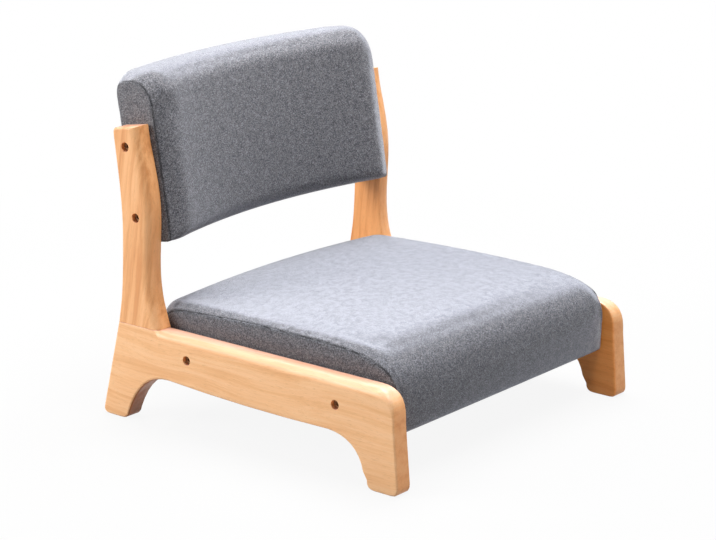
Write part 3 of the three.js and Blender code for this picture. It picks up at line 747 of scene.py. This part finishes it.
def clothAcross(spots, rows):
    # the cloth is measured along its own surface, outwards from the middle row
    middle = (len(rows) - 1) // 2
    across = {}
    for (i, j, k) in sorted(spots, key=lambda key: abs(key[1] - middle)):
        towards = 1 if j < middle else -1
        before = (i, j + towards, k)
        if j == middle or before not in across:
            across[i, j, k] = rows[j]
        else:
            across[i, j, k] = across[before] - towards * (spots[i, j, k] - spots[before]).length
    return across, middle


def boxOfCells(name, cells, rows, sectionAt):
    nS, nT, nH = cells[0], len(rows) - 1, cells[1]
    mesh = bmesh.new()
    grid, uvOf, spots = {}, {}, {}
    for j, y in enumerate(rows):
        rear, front, low, high = sectionAt(y)
        for i in range(nS + 1):
            for k in range(nH + 1):
                if 0 < i < nS and 0 < k < nH and 0 < j < nT:
                    continue
                flat = patchPoint(rear, front, low, high, i / nS, k / nH, i, k)
                spots[i, j, k] = Vector((flat.x, y, flat.y))
                grid[i, j, k] = mesh.verts.new(spots[i, j, k])
    across, middle = clothAcross(spots, rows)
    # rear, top and front are one strip of cloth
    back, face, under, top = (runOf(line) for line in sectionAt(rows[middle]))
    for (i, j, k), spot in spots.items():
        uvOf[i, j, k] = {
            "flat": (under[i] + underOffset if k == 0 else top[i], across[i, j, k]),
            "rear": (back[k] - back[-1], across[i, j, k]),
            "front": (top[-1] + face[-1] - face[k], across[i, j, k]),
            "end": (spot.x, spot.z + endOffset)}
    layer = mesh.loops.layers.uv.new("clothMetres")

    def addFace(panel, keys):
        face = mesh.faces.new([grid[key] for key in keys])
        face.smooth = True
        for loop, key in zip(face.loops, keys):
            loop[layer].uv = uvOf[key][panel]

    for i in range(nS):
        for j in range(nT):
            addFace("flat", [(i, j, 0), (i, j + 1, 0), (i + 1, j + 1, 0), (i + 1, j, 0)])
            addFace("flat", [(i, j, nH), (i + 1, j, nH), (i + 1, j + 1, nH), (i, j + 1, nH)])
        for k in range(nH):
            addFace("end", [(i, 0, k), (i + 1, 0, k), (i + 1, 0, k + 1), (i, 0, k + 1)])
            addFace("end", [(i, nT, k), (i, nT, k + 1), (i + 1, nT, k + 1), (i + 1, nT, k)])
    for j in range(nT):
        for k in range(nH):
            addFace("rear", [(0, j, k), (0, j, k + 1), (0, j + 1, k + 1), (0, j + 1, k)])
            addFace("front", [(nS, j, k), (nS, j + 1, k), (nS, j + 1, k + 1), (nS, j, k + 1)])
    mesh.verts.index_update()
    places = {key: vert.index for key, vert in grid.items()}
    data = bpy.data.meshes.new(name)
    mesh.to_mesh(data)
    mesh.free()
    cushion = bpy.data.objects.new(name, data)
    bpy.context.scene.collection.objects.link(cushion)
    return cushion, places


def keepGroup(cushion, name, indexes):
    cushion.vertex_groups.new(name=name).add(list(indexes), 1.0, "REPLACE")


def wholeIn(cushion, name):
    # the vertices that a group holds fully, without the ones that a subdivision put beside them
    group = cushion.vertex_groups[name].index
    return {v.index for v in cushion.data.vertices
            if any(g.group == group and g.weight > fullWeight for g in v.groups)}


def swell(cushion, look):
    # the cloth starts a little small, is blown out against its seams, and stops within the cap
    data = cushion.data
    target = [v.co.copy() for v in data.vertices]
    normals = [v.normal.copy() for v in data.vertices]
    held = wholeIn(cushion, "held")
    for v in data.vertices:
        if v.index not in held:
            v.co -= normals[v.index] * look["slack"]
    start = [v.co.copy() for v in data.vertices]
    pickOnly(cushion)
    bpy.ops.object.modifier_add(type="CLOTH")
    cloth = cushion.modifiers[-1]
    cloth.name = "swelling"
    settings = cloth.settings
    settings.quality = look["quality"]
    settings.mass = look["mass"]
    settings.tension_stiffness = look["tension"]
    settings.compression_stiffness = look["tension"]
    settings.shear_stiffness = look["tension"] / 2
    settings.bending_stiffness = look["bending"]
    settings.use_pressure = True
    settings.uniform_pressure_force = look["pressure"]
    settings.vertex_group_mass = "held"
    settings.effector_weights.gravity = 0
    cloth.point_cache.frame_start = 1
    cloth.point_cache.frame_end = look["frames"]
    for step in range(1, look["frames"] + 1):
        bpy.context.scene.frame_set(step)
    bpy.ops.object.modifier_apply(modifier="swelling")
    bpy.context.scene.frame_set(1)
    most = 0.0
    for v in data.vertices:
        if v.index in held:
            v.co = target[v.index]
            continue
        reach = max((v.co - start[v.index]).dot(normals[v.index]), 0)
        most = max(most, reach)
        v.co = start[v.index] + normals[v.index] * look["cap"] * math.tanh(reach / look["cap"])
    data.update()
    print("  swelled by up to %.1f mm before the cap" % (most * 1000))


def selectSeam(cushion):
    onSeam = wholeIn(cushion, "seam")
    for part in (*cushion.data.vertices, *cushion.data.polygons):
        part.select = False
    for edge in cushion.data.edges:
        edge.select = all(v in onSeam for v in edge.vertices)


def refine(cushion, look):
    # one subdivision with the seam kept sharp, then a narrow strip along the seam for its groove
    pickOnly(cushion)
    bpy.context.tool_settings.mesh_select_mode = (False, True, False)
    selectSeam(cushion)
    bpy.ops.object.mode_set(mode="EDIT")
    bpy.ops.transform.edge_crease(value=1.0)
    bpy.ops.object.mode_set(mode="OBJECT")
    finer = cushion.modifiers.new("finer", "SUBSURF")
    finer.levels = 1
    finer.render_levels = 1
    bpy.ops.object.modifier_apply(modifier="finer")
    selectSeam(cushion)
    bpy.ops.object.mode_set(mode="EDIT")
    bpy.ops.mesh.bevel(offset=look["seamWidth"] / 2, offset_type="OFFSET", segments=look["seamSteps"],
                       profile=look["seamProfile"], affect="EDGES", clamp_overlap=True)
    bpy.ops.object.mode_set(mode="OBJECT")
    bpy.context.tool_settings.mesh_select_mode = (True, False, False)


def drawSeam(cushion, look, outline):
    # the stitched line round each end is pulled in, the cloth beside it puckers, and the groove is kept as
    # seamShade for its painted shade
    points = []
    for side in (-1, 1):
        line = [Vector((p.x, side * look["half"], p.y)) for p in outline]
        points += evenly(line, max(2, int(runOf(line)[-1] / look["seamSpacing"])))
    seam = KDTree(len(points))
    for index, place in enumerate(points):
        seam.insert(place, index)
    seam.balance()
    data = cushion.data
    normals = [v.normal.copy() for v in data.vertices]
    shift = Vector([look["puckerSeed"]] * 3)
    shades = []
    for v in data.vertices:
        gap = seam.find(v.co)[2]
        groove = math.exp(-(gap / look["grooveReach"]) ** 2)
        ripple = noise.noise(v.co / look["puckerPitch"] + shift) * math.exp(-gap / look["puckerReach"])
        v.co += normals[v.index] * (ripple * look["pucker"] - groove * look["grooveDepth"])
        shades.append(groove)
    data.attributes.new("seamShade", "FLOAT", "POINT").data.foreach_set("value", shades)
    data.update()


def finishCushion(cushion, fabric, replaced):
    pickOnly(cushion)
    bpy.ops.object.shade_smooth()
    cushion.data.materials.append(fabric)
    cushion.vertex_groups.clear()
    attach(cushion, "root")
    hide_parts(*replaced)
    print(" ", cushion.name, len(cushion.data.polygons), "faces")


def spacedRows(half, edge, count):
    # rows across the cushion, closer together towards the ends
    rows = []
    for k in range(count + 1):
        share = 2 * k / count - 1
        rows.append(half * (share * (1 - edge) + edge * math.sin(share * math.pi / 2)))
    rows[0], rows[-1] = -half, half
    return rows


# Seat: the middle of the top stands higher than the seams along its sides
seatLook = {
    **cushionLook,
    "rear": toTenths(seatLow.x - setBack), "front": toTenths(seatHigh.x - setBack),
    "bottom": toTenths(seatLow.z),
    "seamTop": 0.168, "crown": 0.009, "rearDraw": 0.010, "frontDraw": 0.001,
    # shares of the crown: where the rounding towards a side starts, and what the middle adds
    "shoulder": 0.022, "shoulderShare": 0.7, "middleShare": 0.3,
    # shares of the seat's length and height: first at the seam, then at the middle
    "rearRunShares": (0.15, 0.065), "rearDropShares": (0.06, 0.025),
    "rearTurnShare": 0.57, "crownShares": (0.45, -0.025), "fallShares": (0.745, 0.01),
    "browShares": (0.9, 0.035), "browDropShare": 0.13, "noseShare": 0.52, "toeShare": 0.005,
    "rearSteps": 16, "topSteps": 24, "noseSteps": 24, "rearSplit": 9, "noseSplit": 15,
    "cells": (56, 13), "endSpacing": 0.45,
    "grooveReach": 0.0019, "grooveDepth": 0.0018, "pucker": 0.0006, "puckerReach": 0.016,
    "sideClear": 0.0022, "sideBulge": 0.0037, "bulgeFrom": toTenths(railTop + 0.002), "bulgeOver": 0.012,
    "hem": 0.014, "hemStep": 0.0022, "hemWithin": 0.0001,
}


def seatSection(look, y):
    flat = look["half"] - look["shoulder"]
    past = max(abs(y) - flat, 0) / look["shoulder"]
    if past > 0:
        grow = look["shoulderShare"] * math.sin((1 - past) * math.pi / 2)
    else:
        grow = look["shoulderShare"] + look["middleShare"] * (1 - (y / flat) ** 2)
    rear = look["rear"] + (1 - grow) * look["rearDraw"]
    front = look["front"] - (1 - grow) * look["frontDraw"]
    top = look["seamTop"] + grow * look["crown"]
    rise, length = top - look["bottom"], front - rear

    def at(run, drop):
        return Vector((rear + run * length, top - drop * rise))

    rearRun, rearDrop = (
        seam + (middle - seam) * grow for seam, middle in (look["rearRunShares"], look["rearDropShares"]))
    heel, toe = Vector((rear, look["bottom"])), Vector((front - look["toeShare"] * length, look["bottom"]))
    rearTurn = Vector((rear, look["bottom"] + look["rearTurnShare"] * rise))
    shoulder, crown, fall = at(rearRun, rearDrop), at(*look["crownShares"]), at(*look["fallShares"])
    nose = Vector((front, top - look["noseShare"] * rise))
    noseTop = Vector((front, top - look["browDropShare"] * rise))
    rearCurve = bezier([rearTurn, Vector((rear, shoulder.y)), shoulder], look["rearSteps"])
    topCurve = bezier([shoulder, crown, fall], look["topSteps"])
    frontCurve = bezier([fall, at(*look["browShares"]), noseTop, nose], look["noseSteps"])
    rearSplit, noseSplit = look["rearSplit"], look["noseSplit"]
    rearSide = [heel] + rearCurve[:rearSplit + 1]
    topSide = rearCurve[rearSplit:] + topCurve[1:] + frontCurve[1:noseSplit + 1]
    frontSide = [toe] + frontCurve[noseSplit:][::-1]
    nS, nH = look["cells"]
    return evenly(rearSide, nH), evenly(frontSide, nH), evenly([heel, toe], nS), evenly(topSide, nS)


def makeSeat(look):
    rows = spacedRows(look["half"], look["endSpacing"], look["rowsAcross"])
    seat, places = boxOfCells("seatCushion", look["cells"], rows, lambda y: seatSection(look, y))
    nS, nH = look["cells"]
    ends = (0, len(rows) - 1)
    seam = {at for (i, j, k), at in places.items() if j in ends and (i in (0, nS) or k == nH)}
    base = {at for (i, j, k), at in places.items() if k == 0}
    keepGroup(seat, "seam", seam)
    keepGroup(seat, "held", seam | base)
    swell(seat, look)
    # the side panels stand between the rails, and only bulge above them
    for v in seat.data.vertices:
        bulge = look["sideBulge"] * clamp((v.co.z - look["bulgeFrom"]) / look["bulgeOver"], 0, 1)
        room = look["half"] - look["sideClear"] + bulge
        v.co.y = clamp(v.co.y, -room, room)
        v.co.z = max(v.co.z, look["bottom"])
    # the cloth turns under as a hem, and the lining closes the middle
    hemRear = look["rear"] + look["rearDraw"] + look["hem"]
    hemFront = look["front"] - look["frontDraw"] - look["hem"]
    for v in seat.data.vertices:
        inside = abs(v.co.y) < look["half"] - look["hem"] and hemRear < v.co.x < hemFront
        if inside and v.co.z < look["bottom"] + look["hemWithin"]:
            v.co.z = look["bottom"] + look["hemStep"]
    refine(seat, look)
    rear, front, _, high = seatSection(look, look["half"])
    drawSeam(seat, look, rear + high[1:] + front[::-1][1:])
    finishCushion(seat, seatFabric, ("seat_cover", "seat_foam"))


makeSeat(seatLook)
print("seat made")


# Backrest: forward and up are measured from the lower bolt, along the lean
backLook = {
    **cushionLook,
    "boltX": toTenths((boltLow.x + boltHigh.x) / 2 - setBack),
    "boltZ": toTenths((boltLow.z + boltHigh.z) / 2),
    "rear": -0.0325, "front": 0.046, "low": -0.039, "high": 0.188, "sag": 0.032, "crown": 0.005,
    "rounds": {"lowRear": 0.014, "lowFront": 0.014, "highFront": 0.032, "highRear": 0.016},
    "endReach": 0.034, "endPower": 2.2, "endRounds": {"highFront": 0.036, "lowFront": 0.005},
    "endDraw": {"rear": 0.002, "front": 0.014, "low": 0.001, "high": 0.011},
    "roundSteps": 16, "straightSteps": 12,
    "cells": (11, 32), "endSpacing": 0.75,
    "grooveReach": 0.0016, "grooveDepth": 0.0014, "pucker": 0.0005, "puckerReach": 0.014,
}


def backSection(look, y):
    past = max(abs(y) - (look["half"] - look["endReach"]), 0) / look["endReach"]
    draw = {side: most * past ** look["endPower"] for side, most in look["endDraw"].items()}
    rear, front = look["rear"] + draw["rear"], look["front"] - draw["front"]
    low, high = look["low"] + draw["low"], look["high"] - draw["high"]
    rounds = dict(look["rounds"])
    for name, size in look["endRounds"].items():
        rounds[name] += (size - rounds[name]) * past
    steps, half = look["roundSteps"], look["roundSteps"] // 2

    def corner(v, u, inV, inU, size, quarter):
        turns = [quarter * math.pi / 2 + k * math.pi / (2 * steps) for k in range(steps + 1)]
        return [Vector((v + inV * size + size * math.cos(turn), u + inU * size + size * math.sin(turn)))
                for turn in turns]

    lowRear = corner(rear, low, 1, 1, rounds["lowRear"], 2)
    lowFront = corner(front, low, -1, 1, rounds["lowFront"], 3)
    highFront = corner(front, high, -1, -1, rounds["highFront"], 0)
    highRear = corner(rear, high, 1, -1, rounds["highRear"], 1)
    middle, tall = (low + high) / 2, (high - low) / 2
    bow = 1 - (y / look["half"]) ** 2
    crown, sag = look["crown"] * bow, look["sag"] * bow

    def placed(points):
        made = []
        for p in points:
            share = max((p.x - rear) / (front - rear), 0)
            forward = p.x + crown * share * (1 - ((p.y - middle) / tall) ** 2)
            made.append(Vector((
                look["boltX"] + forward * math.cos(postLean) - p.y * math.sin(postLean) - sag,
                look["boltZ"] + forward * math.sin(postLean) + p.y * math.cos(postLean))))
        return made

    def upTo(v, start, end):
        # the points of a straight side between two rounds, without its ends
        count = look["straightSteps"]
        return [Vector((v, start.y + (end.y - start.y) * k / count)) for k in range(1, count)]

    rearSide = lowRear[:half + 1][::-1] + upTo(rear, lowRear[0], highRear[-1]) + highRear[half:][::-1]
    frontSide = lowFront[half:] + upTo(front, lowFront[-1], highFront[0]) + highFront[:half + 1]
    lowSide = lowRear[half:] + lowFront[:half + 1]
    highSide = highRear[:half + 1][::-1] + highFront[half:][::-1]
    nS, nH = look["cells"]
    return (evenly(placed(rearSide), nH), evenly(placed(frontSide), nH),
            evenly(placed(lowSide), nS), evenly(placed(highSide), nS))


def makeBackrest(look):
    rows = spacedRows(look["half"], look["endSpacing"], look["rowsAcross"])
    back, places = boxOfCells("backrestCushion", look["cells"], rows, lambda y: backSection(look, y))
    nS, nH = look["cells"]
    ends = (0, len(rows) - 1)
    seam = {at for (i, j, k), at in places.items() if j in ends and (i in (0, nS) or k in (0, nH))}
    keepGroup(back, "seam", seam)
    keepGroup(back, "held", seam)
    swell(back, look)
    for v in back.data.vertices:
        v.co.y = clamp(v.co.y, -look["half"], look["half"])
    refine(back, look)
    rear, front, low, high = backSection(look, look["half"])
    drawSeam(back, look, rear + high[1:] + front[::-1][1:] + low[::-1][1:])
    finishCushion(back, backFabric, ("backrest_cover", "backrest_foam"))


makeBackrest(backLook)
print("backrest made")


# The pieces whose CAD form stays
carried = {
    "seat_frame_right": innerWood["along"], "seat_frame_left": innerWood["along"],
    "seat_frame_front": innerWood["across"], "seat_frame_rear": innerWood["across"],
    "backrest_cleat_right": innerWood["up"], "backrest_cleat_left": innerWood["up"],
    "seat_board": seatPly, "backrest_board": backPly, "seat_dust_cover": liningCloth,
    "seat_foam": paddingFoam, "backrest_foam": paddingFoam,
    "seat_cover": seatFabric, "backrest_cover": backFabric,
}
for hand in ("right", "left"):
    carried[f"{hand}_side_rail"] = railWood[hand]
    carried[f"{hand}_back_post"] = postWood[hand]
hardware = {"_bolt": "bronzedSteel", "_washer": "zincSteel", "_insert": "threadBrass"}


def materialFor(name):
    for ending, metal in hardware.items():
        if name.endswith(ending):
            return metals[metal]
    return dowelWood if "_dowel_" in name else carried[name]


for name, node in nodes.items():
    node.data.materials.clear()
    node.data.materials.append(materialFor(name))
print("materials given to", len(nodes), "nodes")

pickOnly(bpy.context.scene.camera)
